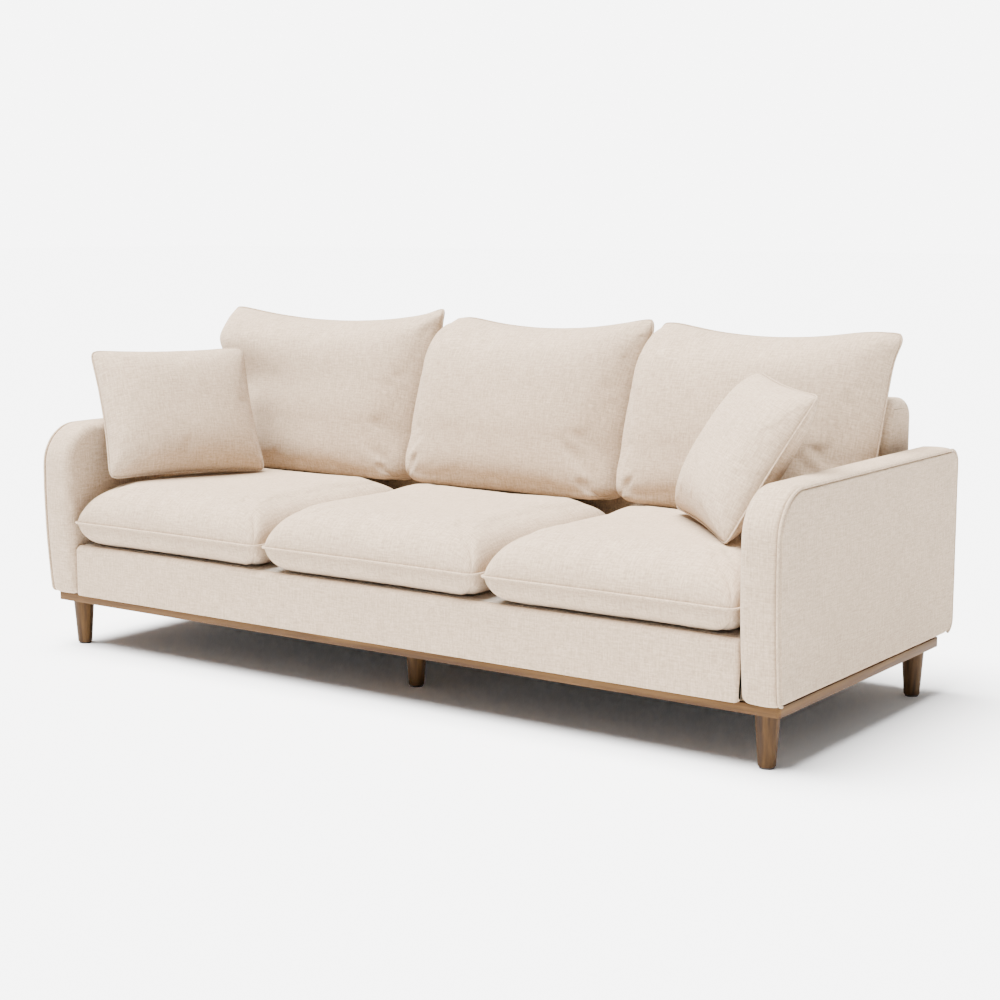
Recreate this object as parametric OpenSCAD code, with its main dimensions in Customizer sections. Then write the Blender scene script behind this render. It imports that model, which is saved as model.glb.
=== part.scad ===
// Three-seat sofa: loose cushions and throw pillows on an upholstered frame,
// carried by a mitred wooden plinth on six tapered legs.
// Millimetres, +Z up, the seat faces -Y, origin at the bottom centre.

/* [Overall] */
// Width over both arms
sofa_width = 2200; // [1900:10:2500]
// Depth over the arm bodies
sofa_depth = 940; // [880:5:1040]
// Height of the arm tops above the floor
arm_height = 602; // [560:2:680]
// Height of the top of the fixed back frame
back_frame_height = 720; // [680:5:800]
// Height of the deck that the seat cushions rest on
deck_height = 281; // [270:1:310]

/* [Legs] */
// Floor to the underside of the plinth
leg_height = 123; // [90:1:160]
// Leg diameter where it meets the plinth
leg_top_diameter = 55; // [44:1:66]
// Leg diameter at the floor
leg_foot_diameter = 38; // [32:1:44]
// Corner leg centre in from the end of the plinth
leg_inset_side = 50; // [46:1:70]
// Front leg centre behind the front edge of the plinth
leg_inset_front = 46; // [40:1:50]
// Back leg centre ahead of the back edge of the plinth
leg_inset_back = 38; // [34:1:46]
// Centre legs in from the front and back edges of the plinth
centre_leg_inset = 182; // [140:1:260]

/* [Plinth] */
// Thickness of the plinth boards
plinth_thickness = 22; // [18:1:28]
// Width of each plinth board
plinth_board = 90; // [84:1:110]
// Arm side overhang past the plinth
plinth_inset_side = 10; // [5:1:20]
// Arm front overhang past the plinth
plinth_inset_front = 33; // [20:1:40]
// Arm back overhang past the plinth
plinth_inset_back = 67; // [60:1:75]
// Plan radius of the plinth corners
plinth_corner_radius = 12; // [6:1:16]

/* [Arms] */
// Thickness of each arm
arm_thickness = 98; // [90:1:120]
// Radius of the bulging arm front
arm_front_radius = 2250; // [1800:50:3000]
// Height of the fullest point of the arm front
arm_bulge_height = 430; // [400:5:460]
// Radius where the arm front turns into the top
arm_front_top_radius = 110; // [80:2:130]
// Radius where the arm top turns into the back
arm_back_top_radius = 40; // [30:1:60]
// Padding and cover around the arm frame
arm_padding = 19; // [16:1:22]

/* [Cushions] */
// Plan width left free between two cushions
cushion_gap = 1.2; // [0.8:0.1:4]
// Height of the seat welt above the deck
seat_welt_rise = 64; // [56:1:72]
// Crown of the seat cushion above its welt
seat_crown = 100; // [80:1:110]
// Length of the back cushions along their slope
back_cushion_height = 500; // [470:1:520]
// Fullness of the back cushion in front of its welt
back_crown = 112; // [90:1:120]
// Backward lean of the back cushions and frame
back_lean = 19.2; // [17:0.2:21]
// Width of the throw pillows
pillow_width = 450; // [420:1:470]
// Height of the throw pillows
pillow_height = 390; // [370:1:410]
// Fullness of a throw pillow on each side of its welt
pillow_crown = 58; // [48:1:62]
// Radius of the cord in every cushion welt
welt_radius = 4; // [3:0.25:5]

/* [Hidden] */
$fn = 48;
gap = 0.3;
steps = 8;
cord_sides = 6;

plinth_top = leg_height + plinth_thickness;
plinth_half = sofa_width / 2 - plinth_inset_side;
plinth_front_y = -sofa_depth / 2 + plinth_inset_front;
plinth_back_y = sofa_depth / 2 - plinth_inset_back;

glide_height = 3;
leg_bolt_radius = 3.95;
leg_bolt_depth = 42;
insert_radius = 4.9;
insert_flange_radius = 9;
insert_flange = 1.6;
corner_leg_x = plinth_half - leg_inset_side;
front_leg_y = plinth_front_y + leg_inset_front;
back_leg_y = plinth_back_y - leg_inset_back;
centre_front_y = plinth_front_y + centre_leg_inset;
centre_back_y = plinth_back_y - centre_leg_inset;
leg_spots = [
    [-corner_leg_x, front_leg_y],
    [corner_leg_x, front_leg_y],
    [-corner_leg_x, back_leg_y],
    [corner_leg_x, back_leg_y],
    [0, centre_front_y],
    [0, centre_back_y],
];

arm_outer = sofa_width / 2;
arm_inner = arm_outer - arm_thickness;
arm_bottom = plinth_top + gap;
arm_rebate = 8;
arm_foot_front_radius = 18;
arm_foot_back_radius = 36;
arm_edge_radius = 22;
arm_cord_radius = 3.8;

board = 28;
dust_bottom = plinth_top + gap;
dust_thickness = 1;
box_bottom = dust_bottom + dust_thickness + gap;
strap_width = 60;
strap_thickness = 2;
deck_thickness = 18;
deck_bottom = deck_height - deck_thickness;
box_top = deck_bottom - 2 * (strap_thickness + gap) - gap;
box_half = arm_inner - 1.5;
border_setback = 17;
border_front_y = -sofa_depth / 2 + border_setback;
border_depth = 28;
box_front_y = border_front_y + border_depth + 1;
box_back_y = plinth_back_y;
stretcher_drop = 50;
bolt_height = (box_bottom + box_top) / 2;
bolt_radius = 4;
bolt_hole = bolt_radius + 0.3;
arm_bolt_ys = [box_front_y + 130, box_back_y - 190];
post_xs = [-0.92, -0.46, 0, 0.46, 0.92];
screw_xs = [-0.85, -0.51, -0.17, 0.17, 0.51, 0.85];

back_cover_wall = 14;
back_setback = 22;
back_end_room = 17;
back_rear_y = sofa_depth / 2 - back_setback;
back_half = arm_inner - back_end_room;
dust_back_y = back_rear_y - back_cover_wall - gap;
back_face_height = 430;
back_thickness = 226;
back_face_y = back_rear_y - back_thickness;
post_x = back_half - back_cover_wall - 20;
post_thickness = 26;
gusset = 18;

seat_pitch = 2 * arm_inner / 3;
welt_offset = welt_radius + 0.5;
cushion_width = seat_pitch - cushion_gap - 2 * (welt_offset + welt_radius);
rim = 6;
cover_inset = 12;
cover_skin = 3;
seat_front_y = -sofa_depth / 2;
seat_back_room = 262;
seat_back_y = back_rear_y - seat_back_room;
seat_length = seat_back_y - seat_front_y - 2 * (welt_offset + welt_radius);
seat_mid_y = (seat_front_y + seat_back_y) / 2;
seat_welt_z = deck_height + seat_welt_rise;
seat_drop = seat_welt_rise - rim / 2 - 0.6;

back_rear = 41;
back_length = back_cushion_height - 2 * (welt_offset + welt_radius);
back_foot_rise = 149;
back_foot_z = deck_height + back_foot_rise;
back_seam_y = back_face_y + (back_foot_z - back_face_height) * tan(back_lean)
    - (back_rear + rim / 2 + 2) / cos(back_lean);
back_mid_y = back_seam_y + back_cushion_height / 2 * sin(back_lean);
back_mid_z = back_foot_z + back_cushion_height / 2 * cos(back_lean);

pillow_w = pillow_width - 2 * (welt_offset + welt_radius);
pillow_h = pillow_height - 2 * (welt_offset + welt_radius);
pillow_left_at = [-arm_inner + 102, back_face_y - 377, deck_height + 342];
pillow_left_turn = [62, 28.7, -0.5];
pillow_right_at = [arm_inner - 185, back_face_y - 322, deck_height + 339];
pillow_right_turn = [-44, 31.5, -2.8];

fabric = [0.80, 0.76, 0.70];
cord = [0.74, 0.70, 0.63];
foam = [0.93, 0.90, 0.78];
walnut = [0.50, 0.36, 0.25];
timber = [0.84, 0.70, 0.50];
steel = [0.62, 0.63, 0.65];
black_cloth = [0.14, 0.14, 0.15];
strap = [0.35, 0.32, 0.28];
plastic = [0.20, 0.19, 0.18];

// Which sub-part to draw

// ---- legs -----------------------------------------------------------------

// One turned leg with a blind hole for its bolt and one for the glide's peg.
module leg(spot) {
    chamfer = 2;
    translate([spot[0], spot[1], 0])
        difference() {
            rotate_extrude()
                polygon([
                    [0, glide_height + gap],
                    [leg_foot_diameter / 2 - chamfer, glide_height + gap],
                    [leg_foot_diameter / 2, glide_height + gap + chamfer],
                    [leg_top_diameter / 2, leg_height - gap],
                    [0, leg_height - gap],
                ]);
            translate([0, 0, leg_height - leg_bolt_depth - 2])
                cylinder(r = leg_bolt_radius + 0.15, h = leg_bolt_depth + 4);
            translate([0, 0, -1])
                cylinder(r = 3.2, h = glide_height + 15);
        }
}

module leg_front_left() { color(walnut) leg(leg_spots[0]); }
module leg_front_right() { color(walnut) leg(leg_spots[1]); }
module leg_back_left() { color(walnut) leg(leg_spots[2]); }
module leg_back_right() { color(walnut) leg(leg_spots[3]); }
module leg_centre_front() { color(walnut) leg(leg_spots[4]); }
module leg_centre_back() { color(walnut) leg(leg_spots[5]); }

module leg_bolts() {
    color(steel)
        for (p = leg_spots)
            translate([p[0], p[1], leg_height - leg_bolt_depth])
                cylinder(r = leg_bolt_radius, h = leg_bolt_depth + plinth_thickness - 1);
}

// Flanged threaded inserts let into the top of the plinth.
module leg_inserts() {
    color(steel)
        for (p = leg_spots)
            translate([p[0], p[1], 0])
                difference() {
                    union() {
                        translate([0, 0, leg_height + 2])
                            cylinder(r = insert_radius, h = plinth_thickness - 2 - gap);
                        translate([0, 0, plinth_top - gap - insert_flange])
                            cylinder(r = insert_flange_radius, h = insert_flange);
                    }
                    translate([0, 0, leg_height])
                        cylinder(r = leg_bolt_radius + 0.1, h = plinth_thickness + 2);
                }
}

module leg_glides() {
    color(plastic)
        for (p = leg_spots)
            translate([p[0], p[1], 0]) {
                cylinder(r = leg_foot_diameter / 2 - 3, h = glide_height);
                cylinder(r = 3, h = glide_height + 12);
            }
}

// ---- plinth ---------------------------------------------------------------

module plinth_outline() {
    r = plinth_corner_radius;
    translate([-plinth_half + r, plinth_front_y])
        square([2 * (plinth_half - r), plinth_back_y - plinth_front_y]);
    translate([-plinth_half, plinth_front_y + r])
        square([2 * plinth_half, plinth_back_y - plinth_front_y - 2 * r]);
    for (x = [-1, 1], y = [plinth_front_y + r, plinth_back_y - r])
        translate([x * (plinth_half - r), y])
            circle(r);
}

module plinth_board(points) {
    translate([0, 0, leg_height])
        difference() {
            linear_extrude(plinth_thickness)
                intersection() {
                    plinth_outline();
                    polygon(points);
                }
            for (p = leg_spots)
                translate([p[0], p[1], -1]) {
                    cylinder(r = insert_radius + 0.3, h = plinth_thickness + 2);
                    translate([0, 0, plinth_thickness + 1 - insert_flange - 2 * gap])
                        cylinder(r = insert_flange_radius + gap, h = insert_flange + 3);
                }
            screw_holes(-1, plinth_thickness + 2, 3);
            screw_holes(-1, 6, 6);
        }
}

module screw_holes(z, h, r) {
    for (x = screw_xs, y = [box_front_y + board / 2, box_back_y - board / 2])
        translate([x * box_half, y, z])
            cylinder(r = r, h = h);
}

// End to end boards, mitred at 45 degrees with a hairline joint.
module plinth_long(y, inward) {
    m = 0.15;
    plinth_board([
        [-plinth_half + m, y],
        [plinth_half - m, y],
        [plinth_half - m - plinth_board, y + inward * plinth_board],
        [-plinth_half + m + plinth_board, y + inward * plinth_board],
    ]);
}

module plinth_side(s) {
    m = 0.15;
    x = s * plinth_half;
    plinth_board([
        [x, plinth_front_y + m],
        [x, plinth_back_y - m],
        [x - s * plinth_board, plinth_back_y - m - plinth_board],
        [x - s * plinth_board, plinth_front_y + m + plinth_board],
    ]);
}

module plinth_front() { color(walnut) plinth_long(plinth_front_y, 1); }
module plinth_back() { color(walnut) plinth_long(plinth_back_y, -1); }
module plinth_left() { color(walnut) plinth_side(-1); }
module plinth_right() { color(walnut) plinth_side(1); }

module plinth_crossbar() {
    y0 = plinth_front_y + plinth_board + gap;
    y1 = plinth_back_y - plinth_board - gap;
    color(walnut)
        plinth_board([
            [-plinth_board / 2, y0],
            [plinth_board / 2, y0],
            [plinth_board / 2, y1],
            [-plinth_board / 2, y1],
        ]);
}

module plinth_screws() {
    color(steel)
        for (x = screw_xs, y = [box_front_y + board / 2, box_back_y - board / 2])
            translate([x * box_half, y, leg_height + 1]) {
                cylinder(r = 5.5, h = 3.6);
                cylinder(r = 2.5, h = plinth_thickness + 40);
            }
}

module dust_cover() {
    color(black_cloth)
        difference() {
            translate([-box_half, box_front_y, dust_bottom])
                cube([2 * box_half, dust_back_y - box_front_y, dust_thickness]);
            screw_holes(dust_bottom - 1, dust_thickness + 2, 3.2);
        }
}

// ---- seat box -------------------------------------------------------------

module bolt_holes_x(r) {
    reach = arm_inner + arm_padding + 30;
    for (y = arm_bolt_ys)
        translate([-reach, y, bolt_height])
            rotate([0, 90, 0])
                cylinder(r = r, h = 2 * reach);
}

module bolt_holes_y(r) {
    for (x = post_xs)
        translate([x * post_x, box_back_y - 100, bolt_height])
            rotate([-90, 0, 0])
                cylinder(r = r, h = 200);
}

module rail_long(y) {
    difference() {
        translate([-box_half, y, box_bottom])
            cube([2 * box_half, board, box_top - box_bottom]);
        screw_holes(box_bottom - 1, 50, 2.8);
        bolt_holes_y(bolt_hole);
    }
}

module rail_side(s) {
    x0 = s > 0 ? box_half - board : -box_half;
    y0 = box_front_y + board + gap;
    y1 = box_back_y - board - gap;
    difference() {
        translate([x0, y0, box_bottom])
            cube([board, y1 - y0, box_top - box_bottom]);
        bolt_holes_x(bolt_hole);
    }
}

module seat_rail_front() { color(timber) rail_long(box_front_y); }
module seat_rail_back() { color(timber) rail_long(box_back_y - board); }
module seat_rail_left() { color(timber) rail_side(-1); }
module seat_rail_right() { color(timber) rail_side(1); }

module seat_stretchers() {
    y0 = box_front_y + board + gap;
    y1 = box_back_y - board - gap;
    color(timber)
        for (s = [-1, 1])
            translate([s * seat_pitch / 2 - board / 2, y0, box_bottom])
                cube([board, y1 - y0, box_top - box_bottom - stretcher_drop]);
}

// Triangular glue blocks in the four corners of the seat box.
module corner_blocks() {
    size = 70;
    x = box_half - board - gap;
    color(timber)
        for (s = [-1, 1], e = [[box_front_y + board + gap, 1], [box_back_y - board - gap, -1]])
            translate([0, 0, box_bottom])
                linear_extrude(box_top - box_bottom - 10)
                    polygon([
                        [s * x, e[0]],
                        [s * (x - size), e[0]],
                        [s * x, e[0] + e[1] * size],
                    ]);
}

// Elastic straps stapled front to back, with cross straps over them.
module seat_webbing() {
    lengthways = 9;
    crossways = 3;
    z = box_top + gap;
    color(strap) {
        for (k = [0 : lengthways - 1])
            translate([(k - (lengthways - 1) / 2) * 2 * box_half / lengthways - strap_width / 2,
                    box_front_y + 4, z])
                cube([strap_width, box_back_y - box_front_y - 8, strap_thickness]);
        for (k = [1 : crossways])
            translate([-box_half + 4,
                    box_front_y + k * (box_back_y - box_front_y) / (crossways + 1)
                    - strap_width / 2, z + strap_thickness + gap])
                cube([2 * box_half - 8, strap_width, strap_thickness]);
    }
}

module seat_deck() {
    color(fabric)
        translate([-box_half, box_front_y, deck_bottom])
            cube([2 * box_half, box_back_y - box_front_y, deck_thickness]);
}

// Padded panel that faces the front rail, with a softly rounded top edge.
module front_border() {
    r = 16;
    h = deck_height - arm_bottom;
    color(fabric)
        translate([-arm_inner + 1, border_front_y, arm_bottom])
            rotate([90, 0, 90])
                linear_extrude(2 * arm_inner - 2)
                    difference() {
                        square([border_depth, h]);
                        translate([0, h - r])
                            difference() {
                                translate([-1, 0])
                                    square([r + 1, r + 1]);
                                translate([r, 0])
                                    circle(r);
                            }
                    }
}

// ---- arms -----------------------------------------------------------------

function arc(cy, cz, r, a0, a1, n) =
    [for (k = [0 : n]) let (a = a0 + (a1 - a0) * k / n) [cy + r * cos(a), cz + r * sin(a)]];

// Side profile of an arm, inset all round but at the foot: from the front of
// the foot, up the bulging front, along the top and down the back.
function arm_path(inset, foot) =
    let (
        big = arm_front_radius - inset,
        cy = -sofa_depth / 2 + arm_front_radius,
        cz = arm_bulge_height,
        back = sofa_depth / 2 - inset,
        top = arm_height - inset,
        fr = max(2, arm_foot_front_radius - inset),
        tr = arm_front_top_radius - inset,
        br = max(2, arm_back_top_radius - inset),
        kr = max(2, arm_foot_back_radius - inset),
        fz = foot + fr,
        tz = top - tr,
        fa = asin((fz - cz) / (big - fr)),
        ta = asin((tz - cz) / (big - tr)),
        fy = cy - (big - fr) * cos(fa),
        ty = cy - (big - tr) * cos(ta),
        bulge = 6
    )
    concat(
        arc(fy, fz, fr, 270, 180 - fa, 3),
        [for (k = [1 : bulge - 1]) let (a = fa + (ta - fa) * k / bulge)
            [cy - big * cos(a), cz + big * sin(a)]],
        arc(ty, tz, tr, 180 - ta, 90, 8),
        arc(back - br, top - br, br, 90, 0, 5),
        arc(back - kr, foot + kr, kr, 0, -90, 4)
    );

// Rings of [x from the inner face, inset], soft inner edge, rebated outer edge.
arm_rings = concat(
    [for (k = [0 : 4]) let (a = 90 * k / 4)
        [arm_edge_radius * (1 - cos(a)), arm_edge_radius * (1 - sin(a))]],
    [
        [arm_thickness - arm_rebate - 0.5, 0],
        [arm_thickness - arm_rebate, arm_rebate],
        [arm_thickness - 1, arm_rebate],
    ]
);

module arm_form() {
    profile = len(arm_path(0, arm_bottom));
    rings = len(arm_rings);
    points = [for (g = arm_rings) for (p = arm_path(g[1], arm_bottom))
        [arm_inner + g[0], p[0], p[1]]];
    sides = [for (i = [0 : rings - 2]) for (k = [0 : profile - 1])
        let (a = i * profile + k, b = i * profile + (k + 1) % profile)
        each [[a, a + profile, b + profile], [a, b + profile, b]]];
    first = [[for (k = [0 : profile - 1]) k]];
    last = [[for (k = [0 : profile - 1]) rings * profile - 1 - k]];
    polyhedron(points = points, faces = concat(sides, first, last), convexity = 6);
}

module mirror_to(s) {
    if (s > 0)
        children();
    else
        mirror([1, 0, 0])
            children();
}

module arm_cover(s) {
    mirror_to(s)
        difference() {
            arm_form();
            translate([arm_inner + arm_padding, 0, 0])
                rotate([90, 0, 90])
                    linear_extrude(arm_thickness - 2 * arm_padding)
                        polygon(arm_path(arm_padding, arm_bottom - 40));
            bolt_holes_x(bolt_radius + 1);
        }
}

// Timber box frame inside an arm.
module arm_frame(s) {
    x0 = arm_inner + arm_padding + 1;
    depth = arm_thickness - 2 * arm_padding - 2;
    post = 46;
    clear = arm_padding + 2;
    front_y = -sofa_depth / 2 + clear + 28;
    rear_y = sofa_depth / 2 - clear;
    top_z = arm_height - clear;
    low_rail = 90;
    mirror_to(s)
        difference() {
            translate([x0, 0, 0])
                rotate([90, 0, 90])
                    linear_extrude(depth)
                        intersection() {
                            union() {
                                translate([front_y, arm_bottom + gap])
                                    square([rear_y - front_y, low_rail]);
                                translate([front_y, arm_bottom + gap])
                                    square([post, top_z - arm_bottom - gap]);
                                for (k = [1 : 4])
                                    translate([front_y + k * (rear_y - front_y - post) / 4,
                                            arm_bottom + gap])
                                        square([post, top_z - arm_bottom - gap]);
                                translate([front_y, top_z - 40])
                                    square([rear_y - front_y, 40]);
                            }
                            polygon(arm_path(clear, arm_bottom - 40));
                        }
            bolt_holes_x(bolt_hole);
        }
}

// Cord sewn round the outer edge of the arm, from foot to foot.
module arm_piping(s) {
    r = arm_cord_radius;
    mid = arm_rebate / 2;
    count = len(arm_path(0, arm_bottom));
    first = 3;
    last = count - 5;
    angles = [for (m = [0 : cord_sides - 1]) 360 * (m + 0.5) / cord_sides];
    paths = [for (a = angles) arm_path(mid - r * cos(a), arm_bottom)];
    rows = last - first + 1;
    points = [for (k = [first : last]) for (m = [0 : cord_sides - 1])
        [arm_outer - mid + r * sin(angles[m]), paths[m][k][0], paths[m][k][1]]];
    sides = [for (i = [0 : rows - 2]) for (m = [0 : cord_sides - 1])
        let (a = i * cord_sides + m, b = i * cord_sides + (m + 1) % cord_sides)
        each [[a, b, b + cord_sides], [a, b + cord_sides, a + cord_sides]]];
    head = [[for (m = [cord_sides - 1 : -1 : 0]) m]];
    tail = [[for (m = [0 : cord_sides - 1]) (rows - 1) * cord_sides + m]];
    mirror_to(s)
        polyhedron(points = points, faces = concat(sides, head, tail), convexity = 6);
}

module arm_frame_left() { color(timber) arm_frame(-1); }
module arm_frame_right() { color(timber) arm_frame(1); }
module arm_cover_left() { color(fabric) arm_cover(-1); }
module arm_cover_right() { color(fabric) arm_cover(1); }
module arm_piping_left() { color(cord) arm_piping(-1); }
module arm_piping_right() { color(cord) arm_piping(1); }

// ---- back frame -----------------------------------------------------------

function face_y(z) = back_face_y + (z - back_face_height) * tan(back_lean);

// Wedge under the sloping face, set in from the outside by a wall.
function wedge(wall, foot, front_r, rear_r) =
    let (
        top = back_frame_height - wall,
        rear = back_rear_y - wall,
        shift = wall / cos(back_lean),
        fz = top - front_r,
        fy = face_y(fz) + shift + front_r / cos(back_lean)
    )
    concat(
        [[face_y(foot) + shift, foot]],
        arc(fy, fz, front_r, 180 - back_lean, 90, 5),
        arc(rear - rear_r, top - rear_r, rear_r, 90, 0, 6),
        [[rear, foot]]
    );

module slab_x(half) {
    translate([-half, 0, 0])
        rotate([90, 0, 90])
            linear_extrude(2 * half)
                children();
}

module back_cover() {
    foot = deck_height + 2;
    color(fabric)
        difference() {
            union() {
                slab_x(back_half)
                    polygon(wedge(0, foot, 22, 50));
                slab_x(back_half)
                    translate([back_rear_y - back_cover_wall, arm_bottom + 2])
                        square([back_cover_wall, back_frame_height / 2]);
            }
            slab_x(back_half - back_cover_wall)
                polygon(wedge(back_cover_wall, foot - 20, 10, 36));
        }
}

// Posts bolted to the back rail, with sloping gussets and two long boards.
module back_frame() {
    wall = back_cover_wall + 1;
    web_room = strap_thickness + 2 * gap + wall;
    foot = deck_height + 4;
    top = back_frame_height - wall;
    post_y = box_back_y + gap;
    color(timber)
        difference() {
            union() {
                for (x = post_xs)
                    translate([x * post_x - gusset, post_y, box_bottom])
                        cube([2 * gusset, post_thickness, top - 42 - box_bottom]);
                for (x = post_xs)
                    translate([x * post_x, 0, 0])
                        slab_x(gusset / 2)
                            intersection() {
                                polygon(wedge(web_room, foot, 8, 34));
                                translate([-sofa_depth, foot])
                                    square([sofa_depth + post_y + 10, sofa_width]);
                            }
                slab_x(post_x)
                    translate([post_y - 30, foot + 20])
                        square([30 + post_thickness, 60]);
                slab_x(post_x)
                    translate([face_y(top - 60) + wall + 16, top - 60])
                        square([post_y + 14 - face_y(top - 60) - wall - 16, 44]);
            }
            bolt_holes_y(bolt_hole);
        }
}

// Straps stretched along the sloping face between the end gussets.
module back_webbing() {
    rows = 4;
    wall = back_cover_wall + 1;
    low = deck_height + 60;
    high = back_frame_height - 110;
    color(strap)
        for (k = [0 : rows - 1]) {
            z = low + (high - low) * k / (rows - 1);
            translate([0, face_y(z) + wall / cos(back_lean), z])
                rotate([-back_lean, 0, 0])
                    translate([-post_x, 0, -strap_width / 2])
                        cube([2 * post_x, strap_thickness, strap_width]);
        }
}

// Bolts that hold the arms to the side rails and the posts to the back rail.
module frame_bolts() {
    head = 3.4;
    x_in = box_half - board;
    reach = arm_padding + 1.5 + board + 24;
    color(steel) {
        for (s = [-1, 1], y = arm_bolt_ys)
            translate([s * (x_in - gap), y, bolt_height])
                rotate([0, s * 90, 0]) {
                    cylinder(r = bolt_radius, h = reach);
                    translate([0, 0, -head])
                        cylinder(r = 9, h = head);
                }
        for (x = post_xs)
            translate([x * post_x, box_back_y + post_thickness + 2 * gap, bolt_height])
                rotate([90, 0, 0]) {
                    cylinder(r = bolt_radius, h = post_thickness + board + 10);
                    translate([0, 0, -head])
                        cylinder(r = 9, h = head);
                    translate([0, 0, post_thickness + board + 3 * gap])
                        cylinder(r = 7, h = 6);
                }
    }
}

// ---- cushions -------------------------------------------------------------

// Sine spacing from -1 to 1, closer together towards the seams.
function spaced(k) = sin(90 * (2 * k / steps - 1));

// Plan of a cushion: the sides, foot and top draw in between the four corner ears.
// spill is how far the upper left ear leans out over the arm, and forward.
function plan(u, v, hw, hh, draw, spill = no_spill) =
    [
        hw * u * (1 - draw[0] * (1 - v * v)) - spill[0] * spill_share(u, v),
        hh * v * (1 - draw[v < 0 ? 1 : 2] * (1 - u * u)) - spill[1] * sin(back_lean) * spill_share(u, v)
    ];

function spill_share(u, v) =
    let (t = max(0, min(1, (v + 0.15) / 0.75)))
    t * t * (3 - 2 * t) * pow(max(0, 1 - u) / 2, 1.6);

function spill_lift(u, v, spill) = spill[1] * cos(back_lean) * spill_share(u, v);

function fullness(u, v, power, soft) =
    pow(max(0, (1 - pow(abs(u), power)) * (1 - pow(abs(v), power))), soft);

function quad(a, b, c, d, turn) =
    turn ? [[a, b, c], [a, c, d]] : [[a, b, d], [b, c, d]];

// Closed pad: a domed front and rear joined by a low rim.
// front and rear are [height, power, softness], draw is how far the sides draw in.
module pad(w, h, edge, front, rear, draw, spill = no_spill) {
    n = steps;
    row = n + 1;
    under = row * row;
    top = [for (i = [0 : n]) for (j = [0 : n])
        let (u = spaced(i), v = spaced(j))
        concat(
            plan(u, v, w / 2, h / 2, draw, spill),
            spill_lift(u, v, spill) + edge / 2 + front[0] * fullness(u, v, front[1], front[2])
        )];
    low = [for (i = [0 : n]) for (j = [0 : n])
        let (u = spaced(i), v = spaced(j))
        concat(
            plan(u, v, w / 2, h / 2, draw, spill),
            spill_lift(u, v, spill) - edge / 2 - rear[0] * fullness(u, v, rear[1], rear[2])
        )];
    upper = [for (i = [0 : n - 1]) for (j = [0 : n - 1])
        let (a = i * row + j, turn = (i - n / 2 + 0.5) * (j - n / 2 + 0.5) < 0)
        each quad(a, a + 1, a + row + 1, a + row, turn)];
    lower = [for (i = [0 : n - 1]) for (j = [0 : n - 1])
        let (a = under + i * row + j, turn = (i - n / 2 + 0.5) * (j - n / 2 + 0.5) > 0)
        each quad(a + row, a + row + 1, a + 1, a, turn)];
    walls = [for (k = [0 : n - 1]) each concat(
        quad(k * row, (k + 1) * row, under + (k + 1) * row, under + k * row, true),
        quad((k + 1) * row + n, k * row + n, under + k * row + n, under + (k + 1) * row + n, true),
        quad(k + 1, k, under + k, under + k + 1, true),
        quad(n * row + k, n * row + k + 1, under + n * row + k + 1, under + n * row + k, true)
    )];
    polyhedron(points = concat(top, low), faces = concat(upper, lower, walls), convexity = 4);
}

function less(bulge, cut) = [bulge[0] - cut, bulge[1], bulge[2]];

module pad_cover(w, h, front, rear, draw, spill = no_spill) {
    difference() {
        pad(w, h, rim, front, rear, draw, spill);
        pad(w - 2 * cover_inset, h - 2 * cover_inset, 2, less(front, cover_skin),
            less(rear, cover_skin), draw, spill);
    }
}

module pad_core(w, h, front, rear, draw, spill = no_spill) {
    cut = cover_skin + 1;
    pad(w - 2 * cover_inset - 3, h - 2 * cover_inset - 3, 1, less(front, cut),
        less(rear, cut), draw, spill);
}

function round_uv(k) =
    let (side = floor(k / steps), t = spaced(k % steps))
    side == 0 ? [t, -1] : side == 1 ? [1, t] : side == 2 ? [-t, 1] : [-1, -t];

// Welt cord all round the seam.
module pad_piping(w, h, draw, spill = no_spill) {
    count = 4 * steps;
    points = [for (k = [0 : count - 1]) for (m = [0 : cord_sides - 1])
        let (
            uv = round_uv(k),
            a = 360 * m / cord_sides,
            out = welt_offset + welt_radius * cos(a)
        )
        concat(
            plan(uv[0], uv[1], w / 2 + out, h / 2 + out, draw, spill),
            spill_lift(uv[0], uv[1], spill) + welt_radius * sin(a)
        )];
    faces = [for (k = [0 : count - 1]) for (m = [0 : cord_sides - 1])
        let (
            a = k * cord_sides + m,
            b = k * cord_sides + (m + 1) % cord_sides,
            c = ((k + 1) % count) * cord_sides + (m + 1) % cord_sides,
            d = ((k + 1) % count) * cord_sides + m
        )
        each [[a, b, c], [a, c, d]]];
    polyhedron(points = points, faces = faces, convexity = 6);
}

seat_front = [seat_crown - rim / 2, 7.5, 0.45];
seat_under = [seat_drop, 14, 0.4];
back_front = [back_crown, 2.8, 0.56];
back_under = [back_rear, 5, 0.5];
pillow_face = [pillow_crown - rim / 2, 2.7, 0.58];
seat_draw = [0.018, 0.018, 0.018];
back_draw = [0.008, 0.02, 0.17];
back_spill = [arm_thickness - 10, 60];
no_spill = [0, 0];
pillow_draw = [0.045, 0.05, 0.05];

module seat_at(k) {
    translate([k * seat_pitch, seat_mid_y, seat_welt_z])
        children();
}

module back_at(k) {
    translate([k * seat_pitch, back_mid_y, back_mid_z])
        rotate([90 - back_lean, 0, 0])
            children();
}

module pillow_at(spot, turn) {
    translate(spot)
        rotate([0, 0, turn[0]])
            rotate([90 - turn[1], 0, 0])
                rotate([0, 0, turn[2]])
                    children();
}

module seat_core(k) {
    color(foam) seat_at(k) pad_core(cushion_width, seat_length, seat_front, seat_under, seat_draw);
}
module seat_cover(k) {
    color(fabric) seat_at(k) pad_cover(cushion_width, seat_length, seat_front, seat_under, seat_draw);
}
module seat_piping(k) {
    color(cord) seat_at(k) pad_piping(cushion_width, seat_length, seat_draw);
}
function spill_of(k) = k < 0 ? back_spill : no_spill;

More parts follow.
